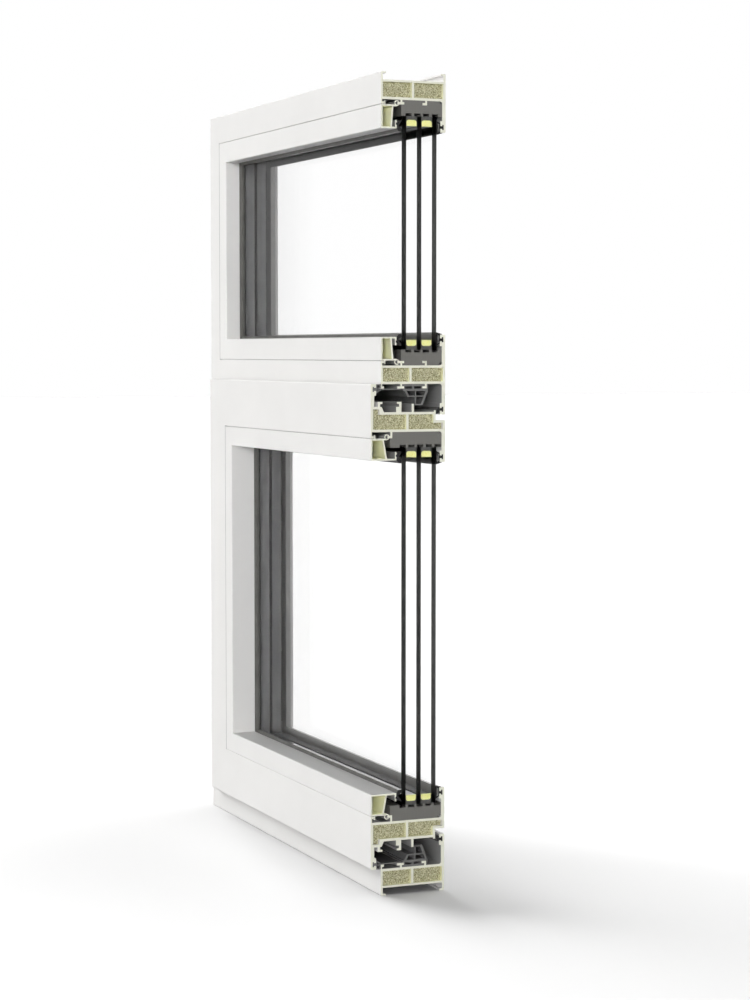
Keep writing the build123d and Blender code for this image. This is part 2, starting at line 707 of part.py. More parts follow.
def bead_nodes():
    """The glazing beads of both lights."""
    back = BEAD_HOLDER - FIXED_BEAD_BACK_INSET
    front = BEAD_HOLDER - FIXED_BEAD_FRONT_INSET
    fixed = bead_section(0, back, front, BEAD_LUG, LUG_HEIGHT)
    back = BEAD_HOLDER - SASH_BEAD_BACK_INSET
    front = BEAD_HOLDER - SASH_BEAD_FRONT_INSET
    sash = bead_section(SASH_ROOM, back, front, SASH_BEAD_LUG, SASH_LUG_HEIGHT)
    nodes = {}
    for side in SIDES:
        nodes["fixed_bead_" + side] = rail(fixed, UPPER_RING, side)
        nodes["sash_bead_" + side] = rail(sash, SASH_LIGHT_RING, side)
    return nodes


def glazing_nodes(light, ring, packer):
    """One glazing unit with its packers and the gaskets on both faces."""
    unit = inset(ring, GLASS_CLEARANCE)
    nodes = {}
    for count, place in enumerate(("inner", "middle", "outer")):
        nodes[f"{light}_pane_{place}"] = pane(unit, count)
    nodes[f"{light}_spacers"] = strip_round(spacer_section(), unit)
    nodes[f"{light}_desiccant"] = strip_round(desiccant_section(), unit)
    nodes[f"{light}_edge_seal"] = strip_round(in_both_gaps(edge_seal), unit)
    nodes[f"{light}_packers"] = packers(packer, ring)
    nodes[f"{light}_bead_gasket"] = strip_round(bead_gasket_section(), ring)
    nodes[f"{light}_outer_gasket"] = strip_round(outer_gasket_section(), ring)
    return nodes


def seal_nodes():
    """The gaskets and the cover strip between the frame and the sash."""
    return {
        "sash_overlap_gasket": strip_round(overlap_gasket_section(), SASH_RING),
        "centre_gasket": strip_round(centre_gasket_section(), LOWER_RING),
        "weather_gasket": strip_round(weather_gasket_section(), LOWER_RING),
        "cover_strip": strip_round(cover_strip_section(), LOWER_RING),
    }


def build():
    """Every node of the window by name."""
    start = GLASS_START - FIXED_PACKER_OVERHANG
    fixed_packer = packer_section(start, FIXED_PACKER_FIRST_GAP, frame_lug_clearance())
    sash_lug = lug_clearance(SASH_BEAD_LUG, SASH_LUG_HEIGHT, LUG_OVERHANG, 0)
    sash_lug = sash_lug + area(SASH_BEAD_LUG - LUG_OVERHANG, SASH_BEAD_LUG, 0, SASH_LUG_HEIGHT)
    start = GLASS_START - SASH_PACKER_OVERHANG
    sash_packer = packer_section(start, SASH_PACKER_FIRST_GAP, sash_lug)
    nodes = frame_nodes() | sash_nodes() | bead_nodes() | seal_nodes()
    nodes |= glazing_nodes("fixed", UPPER_RING, fixed_packer)
    nodes |= glazing_nodes("sash", SASH_LIGHT_RING, sash_packer)
    return nodes


# The origin is under the middle of the whole sample, on the level it stands on.
TO_ORIGIN = Pos(-WIDTH / 2, -(FRAME_DEPTH - SASH_PROUD) / 2, 0)

os.makedirs("parts", exist_ok=True)
for name, shape in build().items():
    export_step(TO_ORIGIN * shape, f"parts/{name}.step")
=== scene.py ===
from math import cos, radians, sin

import bpy
import numpy as np
from mathutils import Matrix, Vector


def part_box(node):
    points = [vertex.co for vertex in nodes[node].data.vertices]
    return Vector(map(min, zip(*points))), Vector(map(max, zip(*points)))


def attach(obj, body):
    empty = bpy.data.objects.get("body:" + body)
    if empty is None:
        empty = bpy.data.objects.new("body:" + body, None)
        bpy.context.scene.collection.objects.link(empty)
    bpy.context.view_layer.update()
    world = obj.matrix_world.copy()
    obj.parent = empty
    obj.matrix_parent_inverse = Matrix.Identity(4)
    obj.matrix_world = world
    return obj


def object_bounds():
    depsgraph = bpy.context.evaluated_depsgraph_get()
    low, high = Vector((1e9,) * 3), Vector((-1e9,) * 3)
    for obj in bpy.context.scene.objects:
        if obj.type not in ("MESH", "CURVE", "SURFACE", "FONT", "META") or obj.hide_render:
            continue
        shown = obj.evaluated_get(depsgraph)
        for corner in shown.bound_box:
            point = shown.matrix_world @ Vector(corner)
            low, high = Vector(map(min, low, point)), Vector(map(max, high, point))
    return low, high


# Looks of a cut-away sample of a tilt and turn window. Lengths are in metres. X runs from
# the whole left side to the saw cut, Y from the room outwards, Z up.

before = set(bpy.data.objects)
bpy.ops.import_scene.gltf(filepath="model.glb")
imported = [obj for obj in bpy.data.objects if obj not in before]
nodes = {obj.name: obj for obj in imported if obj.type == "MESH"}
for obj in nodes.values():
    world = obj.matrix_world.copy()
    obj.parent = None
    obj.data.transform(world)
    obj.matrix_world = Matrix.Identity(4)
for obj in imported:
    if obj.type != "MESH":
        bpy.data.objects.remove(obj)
cad_box = [[float(value) for value in corner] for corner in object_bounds()]
SAW_CUT = cad_box[1][0]
MILLIMETRE = 0.001

# Camera
CAMERA_PLACE = (2.957, -1.1459, 0.665)
CAMERA_AZIMUTH = 67.33
CAMERA_ELEVATION = 3.59
CAMERA_LENS = 85.28
SENSOR_HEIGHT = 36.0

# Light. Each lamp shines from a direction: the key from the saw cut, room and fill from the
# front and from behind, rail on four level rails, bead on all other nodes, and overhead and
# shadow on the floor. THROUGH_GLASS is the share of the even light that passes glass.
AMBIENT = 0.33
THROUGH_GLASS = 0.4
KEY_FROM = (0.88, -0.47, -0.04)
KEY_STRENGTH = 3.4
ROOM_FROM = (-0.2, -0.95, 0.05)
ROOM_STRENGTH = 0.42
RAIL_FROM = (-0.2, -0.65, 0.72)
RAIL_STRENGTH = 1.5
BEAD_FROM = (-0.2, -0.95, 0.08)
BEAD_STRENGTH = 1.45
FILL_FROM = (-0.5, 0.86, 0.05)
FILL_STRENGTH = 2.4
LAMP_SPREAD = 40.0
OVERHEAD_FROM = (0.0, 0.28, 0.95)
OVERHEAD_STRENGTH = 1.2
OVERHEAD_SPREAD = 45.0
SHADOW_FROM = (-0.78, -0.19, 0.3)
SHADOW_STRENGTH = 9.3
SHADOW_SPREAD = 48.0
FLOOR_SIZE = 60.0
FLOOR_TONE = 0.57
FLOOR_BOUNCE = 0.2

# Granular faces of the sawn foam
FACE_STEP = 0.0006
FACE_GAP = 0.1 * MILLIMETRE
FACE_THICKNESS = 0.001
END_TOLERANCE = 0.01 * MILLIMETRE
GRANULE_PITCH = 0.0016
GRANULE_JITTER = 0.45
GRANULE_RADIUS = (0.0008, 0.0012)
GRANULE_RISE = 0.35
GRANULE_SEED = 11

# Depths from the saw cut where its tone fades out, and the slant of the blade's marks
CUT_FADE = (0.05 * MILLIMETRE, 0.2 * MILLIMETRE)
BLADE_SLANT = 0.12

# Depth of the white skin over the painted grey shade inside, height of the foam chambers of the
# sash and the margin about them, height of a bead's clip, share of a bead's depth that its hollow
# takes, the place of a seam past the edge of the clip, and the width of the painted shade at the seam
SKIN = 0.001
SASH_CHAMBER = 0.018
CHAMBER_MARGIN = 0.1
CLIP_HEIGHT = 0.006
HOLLOW_SHARE = 0.6
SEAM_FROM_CLIP = 0.0048
SEAM_SHADE_WIDTH = 0.0002


def tone(red, green, blue):
    """A display colour of 0 to 255 as the linear colour that a shader takes."""
    display = np.array((red, green, blue)) / 255.0
    low = display / 12.92
    high = ((display + 0.055) / 1.055) ** 2.4
    linear = np.where(display <= 0.04045, low, high)
    return (*[float(value) for value in linear], 1.0)


# Node groups shared by the finishes


def new_group(name, inputs, outputs):
    """An empty shader node group with named sockets, and its input and output nodes."""
    tree = bpy.data.node_groups.new(name, "ShaderNodeTree")
    for label, kind, value in inputs:
        socket = tree.interface.new_socket(label, in_out="INPUT", socket_type=kind)
        socket.default_value = value
    for label, kind in outputs:
        tree.interface.new_socket(label, in_out="OUTPUT", socket_type=kind)
    return tree, tree.nodes.new("NodeGroupInput"), tree.nodes.new("NodeGroupOutput")


def math_node(tree, operation, first, second):
    """A Math node whose inputs are sockets or plain numbers; gives its output."""
    node = tree.nodes.new("ShaderNodeMath")
    node.operation = operation
    for place, value in enumerate((first, second)):
        if isinstance(value, (int, float)):
            node.inputs[place].default_value = value
        else:
            tree.links.new(value, node.inputs[place])
    return node.outputs[0]


def ramp_node(tree, value, low, high):
    """A value spread smoothly from 0 at low to 1 at high."""
    node = tree.nodes.new("ShaderNodeMapRange")
    node.interpolation_type = "SMOOTHSTEP"
    tree.links.new(value, node.inputs["Value"])
    for label, limit in (("From Min", low), ("From Max", high)):
        if isinstance(limit, (int, float)):
            node.inputs[label].default_value = limit
        else:
            tree.links.new(limit, node.inputs[label])
    return node.outputs["Result"]


def object_place(tree):
    """The place on the piece, in metres in the part's frame."""
    return tree.nodes.new("ShaderNodeTexCoord").outputs["Object"]


def noise_node(tree, vector, scale, detail):
    """Smooth noise over the surface; scale is a socket or a number of cells in a metre."""
    node = tree.nodes.new("ShaderNodeTexNoise")
    node.inputs["Detail"].default_value = detail
    tree.links.new(vector, node.inputs["Vector"])
    if isinstance(scale, (int, float)):
        node.inputs["Scale"].default_value = scale
    else:
        tree.links.new(scale, node.inputs["Scale"])
    return node.outputs["Fac"]


def drawn_surface_group():
    """Extruded plastic: die lines along the profile, a fine peel and a broad faint mottle."""
    inputs = (
        ("Squeeze", "NodeSocketVector", (0.02, 1.0, 1.0)),
        ("Line Scale", "NodeSocketFloat", 700.0),
        ("Peel Scale", "NodeSocketFloat", 1100.0),
        ("Mottle Scale", "NodeSocketFloat", 9.0),
    )
    outputs = (("Mottle", "NodeSocketFloat"), ("Height", "NodeSocketFloat"))
    tree, given, result = new_group("drawn_surface", inputs, outputs)
    place = object_place(tree)
    squeeze = tree.nodes.new("ShaderNodeVectorMath")
    squeeze.operation = "MULTIPLY"
    tree.links.new(place, squeeze.inputs[0])
    tree.links.new(given.outputs["Squeeze"], squeeze.inputs[1])
    lines = noise_node(tree, squeeze.outputs[0], given.outputs["Line Scale"], 2.0)
    peel = noise_node(tree, place, given.outputs["Peel Scale"], 2.0)
    mottle = noise_node(tree, place, given.outputs["Mottle Scale"], 3.0)
    height = math_node(tree, "MULTIPLY", math_node(tree, "ADD", lines, peel), 0.5)
    tree.links.new(ramp_node(tree, mottle, 0.3, 0.7), result.inputs["Mottle"])
    tree.links.new(height, result.inputs["Height"])
    return tree


def saw_cut_group():
    """The sawn end: a mask at the cut plane, and the fine upright marks of the blade."""
    inputs = (("Cut", "NodeSocketFloat", SAW_CUT), ("Mark Scale", "NodeSocketFloat", 900.0))
    outputs = (("Mask", "NodeSocketFloat"), ("Marks", "NodeSocketFloat"))
    tree, given, result = new_group("saw_cut", inputs, outputs)
    place = object_place(tree)
    parts = tree.nodes.new("ShaderNodeSeparateXYZ")
    tree.links.new(place, parts.inputs[0])
    depth = math_node(tree, "SUBTRACT", given.outputs["Cut"], parts.outputs["X"])
    kept = math_node(tree, "SUBTRACT", 1.0, ramp_node(tree, depth, *CUT_FADE))
    lean = math_node(tree, "MULTIPLY", parts.outputs["Z"], BLADE_SLANT)
    slant = math_node(tree, "ADD", parts.outputs["Y"], lean)
    blade = tree.nodes.new("ShaderNodeCombineXYZ")
    tree.links.new(slant, blade.inputs["X"])
    marks = noise_node(tree, blade.outputs[0], given.outputs["Mark Scale"], 3.0)
    tree.links.new(kept, result.inputs["Mask"])
    tree.links.new(marks, result.inputs["Marks"])
    return tree


def within_group():
    """A mask of what lies between two corners, as a hollow lies inside its profile."""
    inputs = (
        ("Low", "NodeSocketVector", (-1.0, -1.0, -1.0)),
        ("High", "NodeSocketVector", (1.0, 1.0, 1.0)),
    )
    tree, given, result = new_group("within", inputs, (("Mask", "NodeSocketFloat"),))
    place = tree.nodes.new("ShaderNodeSeparateXYZ")
    low = tree.nodes.new("ShaderNodeSeparateXYZ")
    high = tree.nodes.new("ShaderNodeSeparateXYZ")
    tree.links.new(object_place(tree), place.inputs[0])
    tree.links.new(given.outputs["Low"], low.inputs[0])
    tree.links.new(given.outputs["High"], high.inputs[0])
    mask = 1.0
    for axis in "XYZ":
        above = math_node(tree, "GREATER_THAN", place.outputs[axis], low.outputs[axis])
        below = math_node(tree, "LESS_THAN", place.outputs[axis], high.outputs[axis])
        mask = math_node(tree, "MULTIPLY", math_node(tree, "MULTIPLY", above, below), mask)
    tree.links.new(mask, result.inputs["Mask"])
    return tree


def granules_group():
    """Pressed grains: a random shade for each cell, and a dome on it with dark joints between."""
    inputs = (("Grain Scale", "NodeSocketFloat", 480.0), ("Speck Scale", "NodeSocketFloat", 1500.0))
    outputs = [(label, "NodeSocketFloat") for label in ("Shade", "Joint", "Height")]
    tree, given, result = new_group("granules", inputs, outputs)
    place = object_place(tree)
    cells = tree.nodes.new("ShaderNodeTexVoronoi")
    tree.links.new(place, cells.inputs["Vector"])
    tree.links.new(given.outputs["Grain Scale"], cells.inputs["Scale"])
    cell_tone = tree.nodes.new("ShaderNodeSeparateColor")
    tree.links.new(cells.outputs["Color"], cell_tone.inputs[0])
    specks = noise_node(tree, place, given.outputs["Speck Scale"], 2.0)
    shade = math_node(tree, "MULTIPLY", cell_tone.outputs[0], 0.6)
    shade = math_node(tree, "ADD", shade, math_node(tree, "MULTIPLY", specks, 0.4))
    joint = ramp_node(tree, cells.outputs["Distance"], 0.45, 0.8)
    roughened = math_node(tree, "MULTIPLY", specks, 0.3)
    height = math_node(tree, "SUBTRACT", roughened, cells.outputs["Distance"])
    tree.links.new(shade, result.inputs["Shade"])
    tree.links.new(joint, result.inputs["Joint"])
    tree.links.new(height, result.inputs["Height"])
    return tree


def handling_group():
    """Handling: soft smudges and a few fine scuffs, as one mask."""
    inputs = (("Smudge Scale", "NodeSocketFloat", 22.0), ("Scuff Scale", "NodeSocketFloat", 160.0))
    tree, given, result = new_group("handling", inputs, (("Mask", "NodeSocketFloat"),))
    place = object_place(tree)
    smudge = noise_node(tree, place, given.outputs["Smudge Scale"], 4.0)
    scuff = noise_node(tree, place, given.outputs["Scuff Scale"], 5.0)
    scuff = math_node(tree, "MULTIPLY", ramp_node(tree, scuff, 0.62, 0.72), 0.6)
    both = math_node(tree, "MAXIMUM", ramp_node(tree, smudge, 0.45, 0.75), scuff)
    tree.links.new(both, result.inputs["Mask"])
    return tree


GROUPS = {
    "drawn": drawn_surface_group(),
    "cut": saw_cut_group(),
    "within": within_group(),
    "granules": granules_group(),
    "handling": handling_group(),
}


# Finishes


def new_finish(name):
    """An empty material with its shader; gives the material, its node tree and the shader."""
    material = bpy.data.materials.new(name)
    material.use_nodes = True
    tree = material.node_tree
    return material, tree, tree.nodes["Principled BSDF"]


def use_group(tree, name, **values):
    """One of the shared groups, with this finish's own values on its sockets."""
    node = tree.nodes.new("ShaderNodeGroup")
    node.node_tree = GROUPS[name]
    for label, value in values.items():
        node.inputs[label.replace("_", " ")].default_value = value
    return node


def mix_colours(tree, mask, first, second):
    """A colour that goes from first to second with the mask; each is a socket or a colour."""
    node = tree.nodes.new("ShaderNodeMix")
    node.data_type = "RGBA"
    tree.links.new(mask, node.inputs["Factor"])
    for socket, value in ((node.inputs[6], first), (node.inputs[7], second)):
        if isinstance(value, tuple):
            socket.default_value = value
        else:
            tree.links.new(value, socket)
    return node.outputs[2]


def mix_values(tree, mask, first, second):
    """A value that goes from first to second with the mask."""
    node = tree.nodes.new("ShaderNodeMapRange")
    tree.links.new(mask, node.inputs["Value"])
    node.inputs["To Min"].default_value = first
    node.inputs["To Max"].default_value = second
    return node.outputs["Result"]


def face_direction(tree):
    """The way that the surface itself faces, as separate X, Y and Z outputs."""
    node = tree.nodes.new("ShaderNodeSeparateXYZ")
    geometry = tree.nodes.new("ShaderNodeNewGeometry")
    tree.links.new(geometry.outputs["True Normal"], node.inputs[0])
    return node.outputs


def add_bump(tree, shader, height, strength, distance):
    """Relief from a height, of a real distance in metres."""
    node = tree.nodes.new("ShaderNodeBump")
    node.inputs["Strength"].default_value = strength
    node.inputs["Distance"].default_value = distance
    tree.links.new(height, node.inputs["Height"])
    tree.links.new(node.outputs["Normal"], shader.inputs["Normal"])


def profile_finish(name, squeeze, zones):
    """White window plastic: die lines along its length, a cream saw cut, and zones of other tones,
    painted shade among them.
    """
    material, tree, shader = new_finish(name)
    drawn = use_group(tree, "drawn", Squeeze=squeeze)
    cut = use_group(tree, "cut")
    handled = use_group(tree, "handling")
    colour = mix_colours(tree, drawn.outputs["Mottle"], tone(240, 239, 237), tone(237, 236, 234))
    sawn = mix_colours(tree, cut.outputs["Marks"], tone(243, 243, 224), tone(250, 250, 236))
    for (low, high), dark, light in zones:
        within = use_group(tree, "within", Low=low, High=high).outputs["Mask"]
        paint = mix_colours(tree, drawn.outputs["Mottle"], dark, light)
        colour = mix_colours(tree, within, colour, paint)
    colour = mix_colours(tree, cut.outputs["Mask"], colour, sawn)
    tree.links.new(colour, shader.inputs["Base Color"])
    shader.inputs["Specular IOR Level"].default_value = 0.1
    gloss = mix_values(tree, handled.outputs["Mask"], 0.42, 0.52)
    sawn_gloss = math_node(tree, "MULTIPLY", cut.outputs["Mask"], 0.7)
    tree.links.new(math_node(tree, "MAXIMUM", gloss, sawn_gloss), shader.inputs["Roughness"])
    marks = math_node(tree, "MULTIPLY", cut.outputs["Mask"], cut.outputs["Marks"])
    height = math_node(tree, "ADD", drawn.outputs["Height"], marks)
    add_bump(tree, shader, height, 0.18, 0.1 * MILLIMETRE)
    return material


def rubber_finish(name, dark, light, sawn, roughness):
    """Gasket rubber: die lines, a matt bloom, a sawn end of its own tone, slick level lips."""
    material, tree, shader = new_finish(name)
    drawn = use_group(tree, "drawn", Squeeze=(0.05, 1.0, 1.0), Line_Scale=900.0, Mottle_Scale=60.0)
    cut = use_group(tree, "cut", Mark_Scale=1400.0)
    handled = use_group(tree, "handling", Smudge_Scale=45.0)
    skin = mix_colours(tree, drawn.outputs["Mottle"], tone(*dark), tone(*light))
    colour = mix_colours(tree, cut.outputs["Mask"], skin, tone(*sawn))
    tree.links.new(colour, shader.inputs["Base Color"])
    gloss = mix_values(tree, handled.outputs["Mask"], roughness, roughness + 0.06)
    tree.links.new(gloss, shader.inputs["Roughness"])
    add_bump(tree, shader, drawn.outputs["Height"], 0.08, 0.03 * MILLIMETRE)
    shader.inputs["Specular IOR Level"].default_value = 0.04
    slick = ramp_node(tree, face_direction(tree)["Z"], 0.9, 0.99)
    tree.links.new(slick, shader.inputs["Coat Weight"])
    return material


def foam_finish():
    """Pressed foam granules: olive and straw grains with darker joints and pale specks."""
    material, tree, shader = new_finish("foam_granules")
    grains = use_group(tree, "granules", Grain_Scale=760.0, Speck_Scale=1900.0)
    body = mix_colours(tree, grains.outputs["Shade"], tone(155, 152, 117), tone(241, 238, 206))
    colour = mix_colours(tree, grains.outputs["Joint"], body, tone(142, 138, 104))
    tree.links.new(colour, shader.inputs["Base Color"])
    shader.inputs["Roughness"].default_value = 0.95
    shader.inputs["Specular IOR Level"].default_value = 0.1
    add_bump(tree, shader, grains.outputs["Height"], 0.4, 0.3 * MILLIMETRE)
    return material


def desiccant_finish():
    """The drying core: pale yellow beads pressed into the spacer."""
    material, tree, shader = new_finish("desiccant_beads")
    grains = use_group(tree, "granules", Grain_Scale=1000.0, Speck_Scale=2600.0)
    body = mix_colours(tree, grains.outputs["Shade"], tone(255, 255, 162), tone(255, 255, 200))
    colour = mix_colours(tree, grains.outputs["Joint"], body, tone(255, 252, 150))
    tree.links.new(colour, shader.inputs["Base Color"])
    shader.inputs["Roughness"].default_value = 0.6
    shader.inputs["Specular IOR Level"].default_value = 0.1
    add_bump(tree, shader, grains.outputs["Height"], 0.1, 0.2 * MILLIMETRE)
    return material


def packer_finish():
    """Moulded packer plastic: dark grey with a fine spark grain and a scraped cut end."""
    material, tree, shader = new_finish("packer_plastic")
    drawn = use_group(tree, "drawn", Squeeze=(1.0, 1.0, 1.0), Line_Scale=420.0, Mottle_Scale=40.0)
    cut = use_group(tree, "cut")
    handled = use_group(tree, "handling")
    skin = mix_colours(tree, drawn.outputs["Mottle"], tone(100, 99, 95), tone(110, 109, 105))
    sawn = mix_colours(tree, cut.outputs["Marks"], tone(104, 103, 99), tone(118, 117, 112))
    colour = mix_colours(tree, cut.outputs["Mask"], skin, sawn)
    gloss = mix_values(tree, handled.outputs["Mask"], 0.5, 0.65)
    tree.links.new(colour, shader.inputs["Base Color"])
    tree.links.new(gloss, shader.inputs["Roughness"])
    add_bump(tree, shader, drawn.outputs["Height"], 0.3, 0.12 * MILLIMETRE)
    return material


def glass_finish():
    """Clear float glass with dark ground edges, which face along X or Z and not along Y."""
    material, tree, shader = new_finish("float_glass")
    facing = math_node(tree, "ABSOLUTE", face_direction(tree)["Y"], 0.0)
    edge = math_node(tree, "LESS_THAN", facing, 0.5)
    ground = use_group(tree, "granules", Grain_Scale=1400.0)
    edge_tone = mix_colours(tree, ground.outputs["Shade"], tone(40, 41, 39), tone(52, 53, 51))
    colour = mix_colours(tree, edge, (1.0, 1.0, 1.0, 1.0), edge_tone)
    tree.links.new(colour, shader.inputs["Base Color"])
    tree.links.new(mix_values(tree, edge, 0.0, 1.0), shader.inputs["Roughness"])
    shader.inputs["Transmission Weight"].default_value = 1.0
    shader.inputs["IOR"].default_value = 1.1
    return material


def finish_list():
    """The finish of each group of nodes, by the words that their names hold."""
    black = rubber_finish("black_gasket", (98, 97, 94), (108, 107, 104), (52, 52, 52), 0.3)
    # The outer gasket's skin is painted light grey for the light that comes in from outside; its sawn
    # end stays black.
    outer = rubber_finish("outer_gasket", (180, 179, 176), (186, 185, 182), (52, 52, 52), 0.3)
    grey = rubber_finish("grey_gasket", (108, 108, 108), (120, 120, 119), (120, 120, 118), 0.5)
    seal = rubber_finish("edge_sealant", (124, 124, 122), (130, 130, 128), (96, 96, 94), 0.6)
    shell = rubber_finish("spacer_shell", (144, 144, 145), (150, 150, 151), (255, 255, 172), 0.4)
    return (
        ("_foam", foam_finish()),
        ("_pane_", glass_finish()),
        ("_desiccant", desiccant_finish()),
        ("_packers", packer_finish()),
        ("_edge_seal", seal),
        ("_spacers", shell),
        ("overlap_gasket", grey),
        ("centre_gasket", grey),
        ("cover_strip", grey),
        ("_outer_gasket", outer),
        ("_gasket", black),
    )


def bead_inside(name, clip):
    """The corners of what a bead hides: behind its room face and its reveal, and past its clip."""
    low, high = (Vector(corner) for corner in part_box(name))
    low.y += SKIN
    if name.endswith("top"):
        low.z += SKIN
        high.z -= clip
    elif name.endswith("bottom"):
        high.z -= SKIN
        low.z += clip
    else:
        high.x -= SKIN
        low.x += clip
    return low, high


def bead_hollow(name):
    """The corners of a bead's hollow, which is in front of its slanted wall."""
    low, high = bead_inside(name, CLIP_HEIGHT)
    high.y = low.y + HOLLOW_SHARE * (high.y - low.y)
    return low, high


def sash_step():
    """How far out the hidden faces of the sash reach; the step in its outer edge shows beyond."""
    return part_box("sash_outer_gasket")[0][1] - SKIN


def rail_hollow(name):
    """The corners of a rail's foam chambers, as far as the saw cut."""
    low, high = (Vector(corner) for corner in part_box(name.replace("_frame", "") + "_foam"))
    margin = Vector((0.0, CHAMBER_MARGIN, CHAMBER_MARGIN)) * MILLIMETRE
    if name == "sash_top_rail":
        high.z = low.z + SASH_CHAMBER
    if name == "sash_bottom_rail":
        low.z = high.z - SASH_CHAMBER
    if name == "sash_left_stile":
        low.x = high.x - SASH_CHAMBER
    if name.startswith("sash_"):
        high.y = sash_step()
    if high.z - low.z < high.x - low.x:
        high.x = SAW_CUT
    return low - margin, high + margin


def rail_rebate(name):
    """The corners of what a rail hides in the rebates beside its foam chambers, painted grey as
    shade.
    """
    low, high = (Vector(corner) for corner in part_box(name))
    foam_low, foam_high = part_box(name.replace("_frame", "") + "_foam")
    low.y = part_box("left_jamb_frame")[0][1] + SKIN
    high.y = sash_step() if name.startswith("sash_") else high.y - SKIN
    if name == "head_frame":
        high.z = foam_low[2]
    if name == "sill_frame":
        low.z = foam_high[2]
    if name == "left_jamb_frame":
        low.x = foam_high[0]
    return low, high


def seam_shade_box(name):
    """The corners of the dark line of painted shade on an upright rail at the seam beside its bead,
    on the room side.
    """
    bead = "fixed_bead_left" if name == "left_jamb_frame" else "sash_bead_left"
    seam = Vector((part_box(bead)[0][0] + SEAM_FROM_CLIP, 0.0, 0.0))
    return seam - Vector((SEAM_SHADE_WIDTH, 1.0, 1.0)), seam + Vector((SEAM_SHADE_WIDTH, 0.0, 1.0))


def plastic_finish(name):
    """The white plastic of one rail or bead: die lines along it, painted grey shade inside, cream
    hollows.
    """
    squeeze = (1.0, 1.0, 0.02) if "left" in name else (0.02, 1.0, 1.0)
    hidden = bead_inside(name, 0.0) if "_bead_" in name else rail_rebate(name)
    hollow = bead_hollow(name) if "_bead_" in name else rail_hollow(name)
    zones = [
        # What the rail or bead hides is painted grey, as shade in its rebates and recesses.
        (hidden, tone(158, 158, 157), tone(168, 168, 167)),
        # The hollows take the cream core colour, lightened to full as painted light shining through
        # the thin walls.
        (hollow, tone(255, 255, 216), tone(255, 255, 226)),
    ]
    # Upright rails get a dark line at the seam beside the bead: painted shade for the shadow in the
    # gap.
    if name in ("left_jamb_frame", "sash_left_stile"):
        zones.append((seam_shade_box(name), tone(40, 40, 40), tone(50, 50, 50)))
    return profile_finish(name, squeeze, zones)


def dress_nodes():
    """Puts a finish on every node; the clear panes let the lamps through and cast no shadow."""
    finishes = finish_list()
    for name, piece in nodes.items():
        shared = [finish for word, finish in finishes if word in name]
        piece.data.materials.clear()
        piece.data.materials.append(shared[0] if shared else plastic_finish(name))
        piece.visible_shadow = "_pane_" not in name


# Granular faces of the sawn foam


def end_triangles(piece):
    """The triangles of a node that lie on its end nearest the saw cut, as (y, z) corners."""
    mesh = piece.data
    places = np.empty(len(mesh.vertices) * 3)
    mesh.vertices.foreach_get("co", places)
    places = places.reshape(-1, 3)
    mesh.calc_loop_triangles()
    corners = np.empty(len(mesh.loop_triangles) * 3, dtype=np.int64)
    mesh.loop_triangles.foreach_get("vertices", corners)
    triangles = places[corners.reshape(-1, 3)]
    end = places[:, 0].max()
    on_end = np.abs(triangles[:, :, 0] - end).max(axis=1) < END_TOLERANCE
    return end, triangles[on_end][:, :, 1:]


def inside_triangles(points, triangles):
    """Which (y, z) points lie in any triangle: on the same side of all three of its edges."""
    start = triangles[:, :, None, :]
    edge = np.roll(triangles, -1, axis=1)[:, :, None, :] - start
    reach = points[None, None, :, :] - start
    turn = edge[..., 0] * reach[..., 1] - edge[..., 1] * reach[..., 0]
    within = (turn >= 0).all(axis=1) | (turn <= 0).all(axis=1)
    return within.any(axis=0)


def granule_relief(y, z):
    """Height of pressed granules over (y, z): the highest of many domes.

    The domes stand on a jittered grid. Each is the top of a sphere of its own radius, so at a
    distance d from its middle it is the root of radius squared less d squared. All are pressed
    flatter by the same share.
    """
    random = np.random.default_rng(GRANULE_SEED)
    rows = np.arange(y.min() - GRANULE_PITCH, y.max() + 2 * GRANULE_PITCH, GRANULE_PITCH)
    columns = np.arange(z.min() - GRANULE_PITCH, z.max() + 2 * GRANULE_PITCH, GRANULE_PITCH)
    centre_y, centre_z = (grid.ravel() for grid in np.meshgrid(rows, columns, indexing="ij"))
    jitter = (-GRANULE_JITTER, GRANULE_JITTER)
    centre_y = centre_y + random.uniform(*jitter, centre_y.size) * GRANULE_PITCH
    centre_z = centre_z + random.uniform(*jitter, centre_z.size) * GRANULE_PITCH
    radius = random.uniform(*GRANULE_RADIUS, centre_y.size)
    apart = (y[:, None] - centre_y) ** 2 + (z[:, None] - centre_z) ** 2
    domes = np.sqrt(np.maximum(radius**2 - apart, 0.0))
    return GRANULE_RISE * domes.max(axis=1)


def foam_face(node_name):
    """The sawn face of one rail's foam: a grid over its end, raised by the granules' relief."""
    end, triangles = end_triangles(nodes[node_name])
    low = triangles.min(axis=(0, 1))
    high = triangles.max(axis=(0, 1))
    counts = np.ceil((high - low) / FACE_STEP).astype(int)
    y, z = np.meshgrid(
        np.linspace(low[0], high[0], counts[0] + 1),
        np.linspace(low[1], high[1], counts[1] + 1),
        indexing="ij",
    )
    places = np.column_stack((y.ravel(), z.ravel()))
    number = np.arange(places.shape[0]).reshape(y.shape)
    cells = np.stack((number[:-1, :-1], number[1:, :-1], number[1:, 1:], number[:-1, 1:]), axis=-1)
    cells = cells.reshape(-1, 4)
    cells = cells[inside_triangles(places[cells].mean(axis=1), triangles)]
    used, renumbered = np.unique(cells, return_inverse=True)
    places = places[used]
    relief = end + FACE_GAP + granule_relief(places[:, 0], places[:, 1])
    vertices = np.column_stack((relief, places))
    mesh = bpy.data.meshes.new(node_name + "_face")
    mesh.from_pydata(vertices.tolist(), [], renumbered.reshape(-1, 4).tolist())
    mesh.shade_smooth()
    piece = bpy.data.objects.new(node_name + "_face", mesh)
    bpy.context.scene.collection.objects.link(piece)
    thickness = piece.modifiers.new("thickness", "SOLIDIFY")
    thickness.thickness = FACE_THICKNESS
    thickness.offset = -1.0
    mesh.materials.append(bpy.data.materials["foam_granules"])
    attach(piece, "root")


# Stage, light and camera


